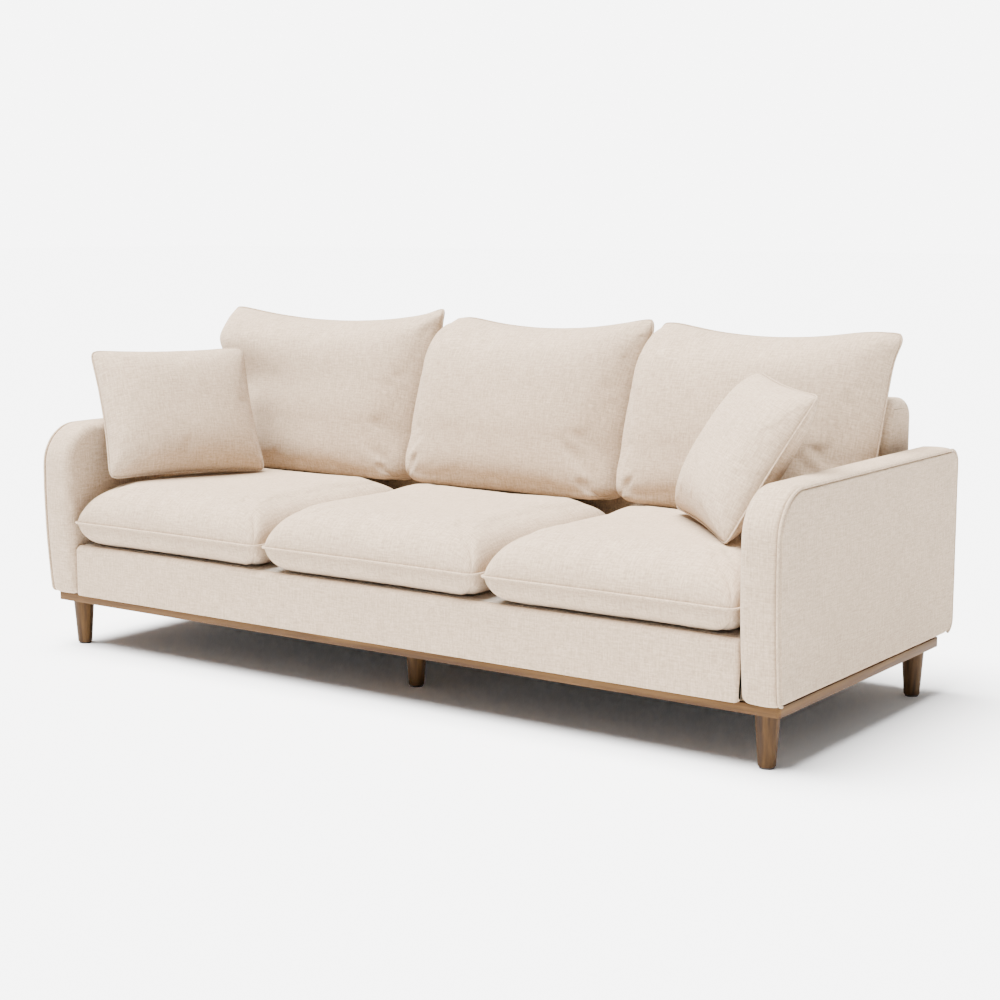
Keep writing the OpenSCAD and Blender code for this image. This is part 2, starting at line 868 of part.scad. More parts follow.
module back_core(k) {
    color(foam)
        back_at(k)
            pad_core(cushion_width, back_length, back_front, back_under, back_draw, spill_of(k));
}
module back_case(k) {
    color(fabric)
        back_at(k)
            pad_cover(cushion_width, back_length, back_front, back_under, back_draw, spill_of(k));
}
module back_piping(k) {
    color(cord)
        back_at(k)
            pad_piping(cushion_width, back_length, back_draw, spill_of(k));
}
module pillow_core() {
    color(foam) pad_core(pillow_w, pillow_h, pillow_face, pillow_face, pillow_draw);
}
module pillow_cover() {
    color(fabric) pad_cover(pillow_w, pillow_h, pillow_face, pillow_face, pillow_draw);
}
module pillow_piping() {
    color(cord) pad_piping(pillow_w, pillow_h, pillow_draw);
}

module seat_left_core() { seat_core(-1); }
module seat_left_cover() { seat_cover(-1); }
module seat_left_piping() { seat_piping(-1); }
module seat_centre_core() { seat_core(0); }
module seat_centre_cover() { seat_cover(0); }
module seat_centre_piping() { seat_piping(0); }
module seat_right_core() { seat_core(1); }
module seat_right_cover() { seat_cover(1); }
module seat_right_piping() { seat_piping(1); }
module back_left_core() { back_core(-1); }
module back_left_cover() { back_case(-1); }
module back_left_piping() { back_piping(-1); }
module back_centre_core() { back_core(0); }
module back_centre_cover() { back_case(0); }
module back_centre_piping() { back_piping(0); }
module back_right_core() { back_core(1); }
module back_right_cover() { back_case(1); }
module back_right_piping() { back_piping(1); }
module pillow_left_core() { pillow_at(pillow_left_at, pillow_left_turn) pillow_core(); }
module pillow_left_cover() { pillow_at(pillow_left_at, pillow_left_turn) pillow_cover(); }
module pillow_left_piping() { pillow_at(pillow_left_at, pillow_left_turn) pillow_piping(); }
module pillow_right_core() { pillow_at(pillow_right_at, pillow_right_turn) pillow_core(); }
module pillow_right_cover() { pillow_at(pillow_right_at, pillow_right_turn) pillow_cover(); }
module pillow_right_piping() { pillow_at(pillow_right_at, pillow_right_turn) pillow_piping(); }

leg_front_left();
leg_front_right();
leg_back_left();
leg_back_right();
leg_centre_front();
leg_centre_back();
leg_bolts();
leg_inserts();
leg_glides();
plinth_front();
plinth_back();
plinth_left();
plinth_right();
plinth_crossbar();
plinth_screws();
dust_cover();
seat_rail_front();
seat_rail_back();
seat_rail_left();
seat_rail_right();
seat_stretchers();
corner_blocks();
seat_webbing();
seat_deck();
front_border();
arm_frame_left();
arm_frame_right();
arm_cover_left();
arm_cover_right();
arm_piping_left();
arm_piping_right();
back_frame();
back_webbing();
back_cover();
frame_bolts();
seat_left_core();
seat_left_cover();
seat_left_piping();
seat_centre_core();
seat_centre_cover();
seat_centre_piping();
seat_right_core();
seat_right_cover();
seat_right_piping();
back_left_core();
back_left_cover();
back_left_piping();
back_centre_core();
back_centre_cover();
back_centre_piping();
back_right_core();
back_right_cover();
back_right_piping();
pillow_left_core();
pillow_left_cover();
pillow_left_piping();
pillow_right_core();
pillow_right_cover();
pillow_right_piping();
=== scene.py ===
"""A three-seat sofa: loose cushions on an upholstered frame with a slim wooden plinth and tapered legs."""
import math

import bmesh
import bpy
import numpy as np
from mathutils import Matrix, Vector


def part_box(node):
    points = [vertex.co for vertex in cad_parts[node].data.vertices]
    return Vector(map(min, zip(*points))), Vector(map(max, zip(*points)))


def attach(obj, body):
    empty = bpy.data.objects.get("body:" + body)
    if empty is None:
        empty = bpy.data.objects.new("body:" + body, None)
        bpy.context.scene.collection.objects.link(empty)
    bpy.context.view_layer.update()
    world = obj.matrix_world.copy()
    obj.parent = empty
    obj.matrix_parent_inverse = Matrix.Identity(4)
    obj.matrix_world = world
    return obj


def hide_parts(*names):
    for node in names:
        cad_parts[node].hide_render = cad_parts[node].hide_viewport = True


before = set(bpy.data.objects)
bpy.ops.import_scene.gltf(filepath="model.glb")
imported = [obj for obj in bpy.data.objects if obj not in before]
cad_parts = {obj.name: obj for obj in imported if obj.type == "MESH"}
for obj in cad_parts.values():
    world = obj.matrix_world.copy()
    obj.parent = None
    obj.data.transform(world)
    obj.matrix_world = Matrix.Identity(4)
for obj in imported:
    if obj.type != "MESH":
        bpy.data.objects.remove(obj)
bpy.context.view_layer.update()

# ---------------------------------------------------------------- camera, floor and studio light
# A low three-quarter view from the front right, on a pale floor that runs off to a white
# wall, lit by one very large soft bank overhead and a little light from all round.
CAMERA_AT = (2.8223, -3.8758, 1.1418)
CAMERA_LENS = 68.27
CAMERA_PITCH = 81.613
CAMERA_YAW = 35.348

camera_data = bpy.data.cameras.new("camera")
camera_data.lens = CAMERA_LENS
camera_data.sensor_width = 36
camera_data.clip_end = 200
camera = bpy.data.objects.new("camera", camera_data)
camera.location = CAMERA_AT
camera.rotation_euler = (math.radians(CAMERA_PITCH), 0, math.radians(CAMERA_YAW))
bpy.context.collection.objects.link(camera)
bpy.context.scene.camera = camera


def new_paint(name):
    """An empty node tree holding only a Principled shader wired to the output."""
    mat = bpy.data.materials.new(name)
    mat.use_nodes = True
    tree = mat.node_tree
    tree.nodes.clear()
    out = tree.nodes.new("ShaderNodeOutputMaterial")
    shader = tree.nodes.new("ShaderNodeBsdfPrincipled")
    tree.links.new(shader.outputs[0], out.inputs[0])
    return mat, tree, shader


def wire(tree, kind, links=(), sockets=None, **settings):
    """One shader node: its settings by name, its sockets by name or number, its links as (output, socket)."""
    node = tree.nodes.new("ShaderNode" + kind)
    for key, value in settings.items():
        setattr(node, key, value)
    for key, value in (sockets or {}).items():
        node.inputs[key].default_value = value
    for output, socket in links:
        tree.links.new(output, node.inputs[socket])
    return node


def shell(name, vertices, quads, uv=None, caps=(), smooth=True):
    """A mesh at the origin from whole arrays: corners, four-sided faces, and flat many-sided caps.
    The cloth map, in metres, has one pair for each corner of each face."""
    mesh = bpy.data.meshes.new(name)
    quads = np.asarray(quads, dtype=np.int32).reshape(-1, 4)
    loops = np.concatenate([quads.ravel(), *[np.asarray(c, dtype=np.int32) for c in caps]])
    sizes = np.concatenate([np.full(len(quads), 4), [len(c) for c in caps]]).astype(np.int32)
    starts = (np.cumsum(sizes) - sizes).astype(np.int32)
    mesh.vertices.add(len(vertices))
    mesh.vertices.foreach_set("co", np.ascontiguousarray(vertices, dtype=np.float32).ravel())
    mesh.loops.add(len(loops))
    mesh.loops.foreach_set("vertex_index", loops)
    mesh.polygons.add(len(sizes))
    mesh.polygons.foreach_set("loop_start", starts)
    mesh.polygons.foreach_set("use_smooth", np.full(len(sizes), smooth))
    mesh.update(calc_edges=True)
    if uv is not None:
        layer = mesh.uv_layers.new(name="cloth")
        layer.data.foreach_set("uv", np.ascontiguousarray(uv, dtype=np.float32).ravel())
    made = bpy.data.objects.new(name, mesh)
    bpy.context.collection.objects.link(made)
    return made


FLOOR_HALF = 60.0
floor_corners = np.array([[-1, -1, 0], [1, -1, 0], [1, 1, 0], [-1, 1, 0.0]]) * FLOOR_HALF
floor = shell("studio_floor", floor_corners, [[0, 1, 2, 3]])
floor_paint, tree, shader = new_paint("studio_floor_paint")
shader.inputs["Base Color"].default_value = (0.90, 0.90, 0.90, 1)
shader.inputs["Roughness"].default_value = 0.9
shader.inputs["Specular IOR Level"].default_value = 0.0
floor.data.materials.append(floor_paint)

SURROUND = 0.52
BACKDROP = 7.0
OVERHEAD = 23.0
OVERHEAD_SPREAD = 48.0
OVERHEAD_TILT = (math.radians(9.0), math.radians(-14.0), 0.0)
world = bpy.data.worlds.new("studio_air")
bpy.context.scene.world = world
world.use_nodes = True
air = world.node_tree
glow = air.nodes["Background"]
glow.inputs[1].default_value = SURROUND
wall = wire(air, "Background", sockets={1: BACKDROP})
seen = wire(air, "LightPath")
both = wire(
    air, "MixShader", [(seen.outputs["Is Camera Ray"], 0), (glow.outputs[0], 1), (wall.outputs[0], 2)]
)
air.links.new(both.outputs[0], air.nodes["World Output"].inputs[0])
for part in (glow, wall):
    part.inputs[0].default_value = (1, 1, 1, 1)

overhead_data = bpy.data.lights.new("overhead_bank", "SUN")
overhead_data.energy = OVERHEAD
overhead_data.angle = math.radians(OVERHEAD_SPREAD)
overhead = bpy.data.objects.new("overhead_bank", overhead_data)
overhead.rotation_euler = OVERHEAD_TILT
overhead.location = (0, 0, 4)
bpy.context.collection.objects.link(overhead)


# ---------------------------------------------------------------- plinth boards
# A slim frame of solid hardwood boards stained mid-brown, mitred at the corners and
# screwed up into the carcass. The show edges are eased by hand and satin lacquered.
PLINTH_EASE = 0.0022
PLINTH_DARK = (0.055, 0.025, 0.007)
PLINTH_MIDDLE = (0.100, 0.050, 0.016)
PLINTH_PALE = (0.145, 0.078, 0.028)
# Streaks, pores and slow bands: scale across the grain, scale along it, detail, swirl
WOOD_NOISES = ((46.0, 1.7, 6.0, 1.1), (520.0, 11.0, 3.0, 0.0), (11.0, 1.3, 2.0, 0.5))
BAND_TINT = (0.80, 0.77, 0.74, 1)


def wood(name, along, dark, middle, pale):
    """Stained wood. Shade follows noise stretched along the grain, times slow bands of noise stretched
    less, times short dark pores, and the pores also press the surface in."""
    mat, tree, shader = new_paint(name)
    place = wire(tree, "TexCoord")
    noises = []
    for across_scale, along_scale, detail, swirl in WOOD_NOISES:
        scale = [across_scale] * 3
        scale[along] = along_scale
        mapping = wire(tree, "Mapping", [(place.outputs["Object"], "Vector")], {"Scale": scale})
        noises.append(wire(
            tree, "TexNoise", [(mapping.outputs[0], "Vector")],
            {"Scale": 1.0, "Detail": detail, "Distortion": swirl},
        ))
    streaks, pores, bands = noises
    ramp = wire(tree, "ValToRGB", [(streaks.outputs["Fac"], "Fac")])
    ramp.color_ramp.elements[0].position = 0.33
    ramp.color_ramp.elements[0].color = (*dark, 1)
    ramp.color_ramp.elements[1].position = 0.68
    ramp.color_ramp.elements[1].color = (*pale, 1)
    ramp.color_ramp.elements.new(0.5).color = (*middle, 1)
    banded = wire(
        tree, "Mix", [(bands.outputs["Fac"], 0), (ramp.outputs["Color"], 6)],
        {7: BAND_TINT}, data_type="RGBA", blend_type="MULTIPLY",
    )
    pore_shade = wire(
        tree, "MapRange", [(pores.outputs["Fac"], "Value")],
        {"From Min": 0.30, "From Max": 0.46, "To Min": 0.66, "To Max": 1.0},
    )
    pored = wire(
        tree, "Mix", [(banded.outputs[2], 6), (pore_shade.outputs[0], 7)],
        {0: 0.6}, data_type="RGBA", blend_type="MULTIPLY",
    )
    tree.links.new(pored.outputs[2], shader.inputs["Base Color"])
    rough = wire(tree, "MapRange", [(streaks.outputs["Fac"], "Value")], {"To Min": 0.50, "To Max": 0.70})
    tree.links.new(rough.outputs[0], shader.inputs["Roughness"])
    bump = wire(tree, "Bump", [(pores.outputs["Fac"], "Height")], {"Strength": 0.2, "Distance": 0.0006})
    tree.links.new(bump.outputs[0], shader.inputs["Normal"])
    shader.inputs["Specular IOR Level"].default_value = 0.16
    return mat


def eased(node, name, ease):
    """A copy of a board or leg: its loose triangles are joined into flats, and its edges rounded by ease."""
    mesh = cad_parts[node].data.copy()
    made = bpy.data.objects.new(name, mesh)
    bpy.context.collection.objects.link(made)
    work = bmesh.new()
    work.from_mesh(mesh)
    bmesh.ops.remove_doubles(work, verts=work.verts, dist=1e-5)
    bmesh.ops.dissolve_limit(work, angle_limit=math.radians(0.8), verts=work.verts, edges=work.edges)
    for face in work.faces:
        face.smooth = True
    work.to_mesh(mesh)
    work.free()
    mesh.materials.clear()
    rounding = made.modifiers.new("eased_edges", "BEVEL")
    rounding.width = ease
    rounding.segments = 3
    rounding.limit_method = "ANGLE"
    rounding.angle_limit = math.radians(32)
    rounding.harden_normals = True
    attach(made, "frame")
    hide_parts(node)
    return made


plinth_stain = [
    wood(f"plinth_stain_{word}", axis, PLINTH_DARK, PLINTH_MIDDLE, PLINTH_PALE)
    for axis, word in enumerate(("lengthways", "crossways"))
]
for word, axis in (("front", 0), ("back", 0), ("left", 1), ("right", 1), ("crossbar", 1)):
    board = eased(f"plinth_{word}", f"plinth_{word}_eased", PLINTH_EASE)
    board.data.materials.append(plinth_stain[axis])

# ---------------------------------------------------------------- legs
# Six tapered round legs turned from the same hardwood, grain upright, with a softened foot
# edge. Each screws on a bolt into an insert in the plinth, over a moulded glide.
LEG_EASE = 0.0013
LEG_DARK = (0.029, 0.013, 0.004)
LEG_MIDDLE = (0.065, 0.032, 0.010)
LEG_PALE = (0.104, 0.055, 0.019)
leg_stain = wood("leg_stain", 2, LEG_DARK, LEG_MIDDLE, LEG_PALE)
for word in ("front_left", "front_right", "back_left", "back_right", "centre_front", "centre_back"):
    leg = eased(f"leg_{word}", f"leg_{word}_turned", LEG_EASE)
    leg.data.materials.append(leg_stain)

glide_plastic, tree, shader = new_paint("glide_plastic")
place = wire(tree, "TexCoord")
grit = wire(tree, "TexNoise", [(place.outputs["Object"], "Vector")], {"Scale": 900.0, "Detail": 2.0})
bump = wire(tree, "Bump", [(grit.outputs["Fac"], "Height")], {"Strength": 0.2, "Distance": 0.0003})
tree.links.new(bump.outputs[0], shader.inputs["Normal"])
shader.inputs["Base Color"].default_value = (0.035, 0.03, 0.028, 1)
shader.inputs["Roughness"].default_value = 0.55

zinc, tree, shader = new_paint("zinc_plate")
place = wire(tree, "TexCoord")
grit = wire(tree, "TexNoise", [(place.outputs["Object"], "Vector")], {"Scale": 240.0, "Detail": 4.0})
dull = wire(tree, "MapRange", [(grit.outputs["Fac"], "Value")], {"To Min": 0.25, "To Max": 0.5})
tree.links.new(dull.outputs[0], shader.inputs["Roughness"])
shader.inputs["Base Color"].default_value = (0.56, 0.57, 0.60, 1)
shader.inputs["Metallic"].default_value = 1.0


def paint(mat, *nodes):
    """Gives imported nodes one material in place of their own."""
    for node in nodes:
        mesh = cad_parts[node].data
        mesh.materials.clear()
        mesh.materials.append(mat)


paint(glide_plastic, "leg_glides")
paint(zinc, "leg_bolts", "leg_inserts", "plinth_screws", "frame_bolts")

# ---------------------------------------------------------------- carcass
# Sawn softwood rails, posts, stretchers and glued corner blocks, with elastic straps
# stapled across the seat and back. They show only when the cushions are lifted away.
softwood = wood("sawn_softwood", 0, (0.42, 0.27, 0.14), (0.55, 0.38, 0.21), (0.68, 0.50, 0.30))
paint(
    softwood, "seat_rail_front", "seat_rail_back", "seat_rail_left", "seat_rail_right", "seat_stretchers",
    "corner_blocks", "arm_frame_left", "arm_frame_right", "back_frame",
)


def coarse_cloth(name, colour, thread, lift):
    """Plain coarse cloth: the greater of two crossed wave bands, times a third, lifts the yarns, and cloudy
    noise varies the shade."""
    mat, tree, shader = new_paint(name)
    place = wire(tree, "TexCoord")
    waves = [
        wire(tree, "TexWave", [(place.outputs["Object"], "Vector")], {"Scale": thread}, bands_direction=axis)
        for axis in "XYZ"
    ]
    x_bands, y_bands, z_bands = [wave.outputs["Fac"] for wave in waves]
    crossed = wire(tree, "Math", [(x_bands, 0), (y_bands, 1)], operation="MAXIMUM")
    crossed = wire(tree, "Math", [(crossed.outputs[0], 0), (z_bands, 1)], operation="MULTIPLY")
    cloud = wire(tree, "TexNoise", [(place.outputs["Object"], "Vector")], {"Scale": 70.0, "Detail": 5.0})
    shade = wire(
        tree, "Mix", [(cloud.outputs["Fac"], 0)],
        {6: (*[c * 0.78 for c in colour], 1), 7: (*[c * 1.2 for c in colour], 1)}, data_type="RGBA",
    )
    tree.links.new(shade.outputs[2], shader.inputs["Base Color"])
    bump = wire(tree, "Bump", [(crossed.outputs[0], "Height")], {"Strength": 0.5, "Distance": lift})
    tree.links.new(bump.outputs[0], shader.inputs["Normal"])
    shader.inputs["Roughness"].default_value = 0.95
    return mat


paint(coarse_cloth("strap_weave", (0.16, 0.13, 0.10), 90, 0.0005), "seat_webbing", "back_webbing")

# ---------------------------------------------------------------- dust cover
# A thin black nonwoven sheet pulled tight and stapled under the seat rails, with the
# slightest dip between them. It keeps dust out of the springing.
DUST_DIP = 0.0006


def tight_sheet(name, low, high, dip):
    """Two grids a sheet's thickness apart, joined round the edge, both lowered by the dip times
    the product of (1 - s^2) along each side."""
    count = (45, 19)
    s, t = np.meshgrid(np.linspace(-1, 1, count[0]), np.linspace(-1, 1, count[1]), indexing="ij")
    x = (low[0] + high[0]) / 2 + s * (high[0] - low[0]) / 2
    y = (low[1] + high[1]) / 2 + t * (high[1] - low[1]) / 2
    fall = dip * (1 - s**2) * (1 - t**2)
    upper = np.stack([x, y, high[2] - fall], -1)
    lower = np.stack([x, y, low[2] + dip - fall], -1)
    i, j = np.meshgrid(np.arange(count[0] - 1), np.arange(count[1] - 1), indexing="ij")
    first = (i * count[1] + j).reshape(-1, 1)
    face = first + np.array([[0, count[1], count[1] + 1, 1]])
    index = np.arange(count[0] * count[1]).reshape(count)
    rim = np.concatenate([index[:-1, 0], index[-1, :-1], index[:0:-1, -1], index[0, :0:-1]])
    after = np.roll(rim, -1)
    total = count[0] * count[1]
    side = np.stack([rim, rim + total, after + total, after], -1)
    quads = np.concatenate([face, face[:, ::-1] + total, side])
    vertices = np.concatenate([upper.reshape(-1, 3), lower.reshape(-1, 3)])
    return shell(name, vertices, quads, smooth=False)


dust_low, dust_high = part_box("dust_cover")
dust_sheet = tight_sheet("dust_sheet", dust_low, dust_high, DUST_DIP)
dust_sheet.data.materials.append(coarse_cloth("dust_cloth_black", (0.022, 0.022, 0.024), 160, 0.0002))
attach(dust_sheet, "frame")
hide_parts("dust_cover")

# ---------------------------------------------------------------- arms
# Each arm is a padded timber box. One long band of cloth runs up the full front, over the
# top and down the back, and a flat outer panel is sewn to it with a fine welt.
ARM_BULGE_RADIUS = 2.25
ARM_BULGE_HEIGHT = 0.430
ARM_FRONT_TURN = 0.110
ARM_BACK_TURN = 0.040
ARM_FOOT_FRONT_TURN = 0.018
ARM_FOOT_BACK_TURN = 0.036
ARM_LEAST_TURN = 0.0012
ARM_SOFT_EDGE = 0.024
ARM_SEAM_STEP = 0.0085
ARM_WELT = 0.0036
ARM_WELT_INSET = 0.0042
LINEN_COLOUR = (0.462, 0.346, 0.240)
LINEN_DARK_YARN = (0.76, 0.74, 0.715)
LINEN_PALE_YARN = (1.24, 1.25, 1.26)
LINEN_THREAD = 0.0011
# Slubs along the warp, slubs along the weft, flecks, and slow unevenness
YARN_NOISES = ((26.0, 330.0, 1.0), (330.0, 26.0, 1.0), (170.0, 170.0, 1.0), (6.0, 6.0, 1.0))
# Outline points along the foot, where the outer panel has no welt
SEAM_SHORT_OF_FOOT = 52


def linen(name, colour, thread):
    """Heavy plain weave on the piece's own map in metres: warp and weft bands a thread apart take turns
    in a checker of threads, yarn noise stretched along each direction gives the slubs, fleck noise the
    heathering, and slow noise the unevenness of a dyed cloth. The weave and the slubs lift the surface, and
    painted shade darkens the gaps between threads."""
    mat, tree, shader = new_paint(name)
    place = wire(tree, "UVMap", uv_map="cloth")
    bands = math.pi / 10 / thread
    warp, weft = [
        wire(tree, "TexWave", [(place.outputs[0], "Vector")], {"Scale": bands}, bands_direction=axis)
        for axis in "XY"
    ]
    turns = wire(tree, "TexChecker", [(place.outputs[0], "Vector")], {"Scale": 1 / thread})
    weave = wire(tree, "Mix", [(turns.outputs["Fac"], 0), (warp.outputs["Fac"], 2), (weft.outputs["Fac"], 3)])
    noises = []
    for scale in YARN_NOISES:
        mapping = wire(tree, "Mapping", [(place.outputs[0], "Vector")], {"Scale": scale})
        noises.append(wire(tree, "TexNoise", [(mapping.outputs[0], "Vector")], {"Scale": 1.0, "Detail": 2.0}))
    along, across, fleck, cloud = [n.outputs["Fac"] for n in noises]
    yarns = wire(tree, "Math", [(along, 0), (across, 1)], operation="ADD")
    tone = wire(tree, "Math", [(yarns.outputs[0], 0), (fleck, 1)], operation="ADD")
    heather = wire(tree, "MapRange", [(tone.outputs[0], "Value")], {"From Min": 1.12, "From Max": 1.88})
    shade = wire(
        tree, "Mix", [(heather.outputs[0], 0)],
        {6: (*[c * f for c, f in zip(colour, LINEN_DARK_YARN)], 1),
         7: (*[c * f for c, f in zip(colour, LINEN_PALE_YARN)], 1)}, data_type="RGBA",
    )
    cloud_shade = wire(
        tree, "MapRange", [(cloud, "Value")],
        {"From Min": 0.25, "From Max": 0.75, "To Min": 0.955, "To Max": 1.03},
    )
    clouded = wire(
        tree, "Mix", [(shade.outputs[2], 6), (cloud_shade.outputs[0], 7)], {0: 1.0},
        data_type="RGBA", blend_type="MULTIPLY",
    )
    # Painted shade: the cloth's colour darkens in the gaps between threads, where the weave lies in shadow.
    painted_weave_gap_shade = wire(tree, "MapRange", [(weave.outputs[0], "Value")], {"To Min": 0.86, "To Max": 1.04})
    weave_gap_shaded = wire(
        tree, "Mix", [(clouded.outputs[2], 6), (painted_weave_gap_shade.outputs[0], 7)], {0: 1.0},
        data_type="RGBA", blend_type="MULTIPLY",
    )
    tree.links.new(weave_gap_shaded.outputs[2], shader.inputs["Base Color"])
    height = wire(tree, "Math", [(weave.outputs[0], 0), (tone.outputs[0], 1)], operation="ADD")
    bump = wire(tree, "Bump", [(height.outputs[0], "Height")], {"Strength": 0.5, "Distance": 0.0005})
    tree.links.new(bump.outputs[0], shader.inputs["Normal"])
    shader.inputs["Roughness"].default_value = 0.93
    shader.inputs["Specular IOR Level"].default_value = 0.18
    shader.inputs["Sheen Weight"].default_value = 0.12
    shader.inputs["Sheen Roughness"].default_value = 0.45
    shader.inputs["Sheen Tint"].default_value = (1.0, 0.96, 0.90, 1)
    return mat


sofa_linen = linen("oatmeal_linen", LINEN_COLOUR, LINEN_THREAD)
welt_linen = linen("oatmeal_linen_bias", tuple(c * 0.97 for c in LINEN_COLOUR), LINEN_THREAD * 0.8)


def unit(vectors):
    """Each vector at length one."""
    return vectors / np.maximum(np.linalg.norm(vectors, axis=-1, keepdims=True), 1e-12)


def inward(line, distance):
    """A closed outline moved inwards, along the normals of its own polygon, by a distance."""
    ahead = unit(np.roll(line, -1, 0) - np.roll(line, 1, 0))
    return line + np.stack([ahead[:, 1], -ahead[:, 0]], -1) * distance


def turn_arc(cy, cz, r, a0, a1, count):
    """Points on a circle between two angles in degrees."""
    a = np.radians(np.linspace(a0, a1, count))
    return np.stack([cy + r * np.cos(a), cz + r * np.sin(a)], -1)


def straight(a, b, count):
    """Points strictly between two others, evenly spaced."""
    return np.linspace(a, b, count + 2)[1:-1]


def banded_body(name, rings, xs):
    """Outlines carried across a width: ring k is the outline rings[k] at x = xs[k], closed by one
    flat cap at each end. The first two and last two rings share an end's plane. The map is width by
    run length on the band, and the outline's own plane on the ends."""
    count = len(rings[0])
    vertices = np.concatenate([np.column_stack([np.full(count, x), ring]) for x, ring in zip(xs, rings)])
    rows = len(rings)
    i, j = [a.ravel() for a in np.meshgrid(np.arange(rows - 1), np.arange(count), indexing="ij")]
    k = (j + 1) % count
    quads = np.stack([i * count + j, (i + 1) * count + j, (i + 1) * count + k, i * count + k], -1)
    middle = rings[rows // 2]
    run = np.concatenate([[0], np.cumsum(np.linalg.norm(np.diff(middle, axis=0, append=middle[:1]), axis=1))])
    corner_row = np.stack([i, i + 1, i + 1, i], -1)
    corner_run = run[np.stack([j, j, j + 1, j + 1], -1)]
    first_points = vertices.reshape(rows, count, 3)[:, 0]
    across = np.cumsum(np.concatenate([[0], np.linalg.norm(np.diff(first_points, axis=0), axis=1)]))
    uv = np.stack([across[corner_row] + xs[0], corner_run], -1)
    on_end = (i == 0) | (i == rows - 2)
    uv[on_end] = vertices[quads[on_end]][..., 1:]
    caps = [np.arange(count), (rows - 1) * count + np.arange(count)[::-1]]
    cap_uv = [vertices[c][:, 1:] for c in caps]
    return shell(name, vertices, quads, np.concatenate([uv.reshape(-1, 2), *cap_uv]), caps)


BIAS_CUT = np.array([[0.7071, 0.7071], [-0.7071, 0.7071]])


def cord_sleeve(name, path, radius, closed, outward):
    """A covered cord: a ring of ten points about each point of a path, at angle a lying at cos a along the
    outward direction and sin a along its cross product with the run, with a slow swelling of a few
    per cent along the length. The map is turned by 45 degrees, as the strip is cut on the bias, and an
    open cord is closed by a flat cap at each end."""
    around = 10
    ahead = np.roll(path, -1, 0) - np.roll(path, 1, 0)
    if not closed:
        ahead[0], ahead[-1] = path[1] - path[0], path[-1] - path[-2]
    ahead = unit(ahead)
    side = unit(outward - (outward * ahead).sum(-1, keepdims=True) * ahead)
    rise = np.cross(ahead, side)
    steps = np.linalg.norm(np.diff(path, axis=0, append=path[:1]), axis=1)
    run = np.concatenate([[0], np.cumsum(steps)])
    swell = radius * (1 + 0.035 * np.sin(run[:-1] * 47) + 0.025 * np.sin(run[:-1] * 131 + 1.3))
    a = np.linspace(0, 2 * np.pi, around, endpoint=False)
    circle = np.cos(a)[:, None] * side[:, None] + np.sin(a)[:, None] * rise[:, None]
    rings = path[:, None] + swell[:, None, None] * circle
    count = len(path)
    rows = np.arange(count if closed else count - 1)
    i, j = [g.ravel() for g in np.meshgrid(rows, np.arange(around), indexing="ij")]
    n, k = (i + 1) % count, (j + 1) % around
    quads = np.stack([i * around + j, i * around + k, n * around + k, n * around + j], -1)
    girth = np.stack([j, j + 1, j + 1, j], -1) * 2 * np.pi * radius / around
    lap = np.stack([run[np.stack([i, i, i + 1, i + 1], -1)], girth], -1)
    uv = lap.reshape(-1, 2) @ BIAS_CUT
    caps = [] if closed else [np.arange(around)[::-1], (count - 1) * around + np.arange(around)]
    cap_uv = [np.zeros((around, 2)) for _ in caps]
    made = shell(name, rings.reshape(-1, 3), quads, np.concatenate([uv, *cap_uv]), caps)
    made.data.materials.append(welt_linen)
    return made


arm_low, arm_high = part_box("arm_cover_right")


def arm_outline(inset):
    """The arm from the side: a foot turn, a long bulge of one radius, a wide turn to the flat top, a
    small turn to the upright back, and a foot turn, as arcs tangent to one another. Every radius and
    straight is taken in by the inset, and a turn smaller than the inset ends as a near corner."""
    front, back, top, foot = arm_low[1] + inset, arm_high[1] - inset, arm_high[2] - inset, arm_low[2] + inset
    bulge_r = ARM_BULGE_RADIUS - inset
    turns = (ARM_FOOT_FRONT_TURN, ARM_FRONT_TURN, ARM_BACK_TURN, ARM_FOOT_BACK_TURN)
    foot_turn, top_turn, back_turn, heel_turn = [max(r - inset, ARM_LEAST_TURN) for r in turns]
    cy = front + bulge_r
    foot_z, top_z = foot + foot_turn, top - top_turn
    foot_a = math.degrees(math.asin((foot_z - ARM_BULGE_HEIGHT) / (bulge_r - foot_turn)))
    top_a = math.degrees(math.asin((top_z - ARM_BULGE_HEIGHT) / (bulge_r - top_turn)))
    foot_y = cy - (bulge_r - foot_turn) * math.cos(math.radians(foot_a))
    top_y = cy - (bulge_r - top_turn) * math.cos(math.radians(top_a))
    bulge = np.radians(np.linspace(foot_a, top_a, 42)[1:-1])
    return np.concatenate([
        turn_arc(foot_y, foot_z, foot_turn, 270, 180 - foot_a, 8),
        np.stack([cy - bulge_r * np.cos(bulge), ARM_BULGE_HEIGHT + bulge_r * np.sin(bulge)], -1),
        turn_arc(top_y, top_z, top_turn, 180 - top_a, 90, 28),
        straight((top_y, top), (back - back_turn, top), 60),
        turn_arc(back - back_turn, top - back_turn, back_turn, 90, 0, 14),
        straight((back, top - back_turn), (back, foot + heel_turn), 38),
        turn_arc(back - heel_turn, foot + heel_turn, heel_turn, 0, -90, 12),
        straight((back - heel_turn, foot), (foot_y, foot), 50),
    ])


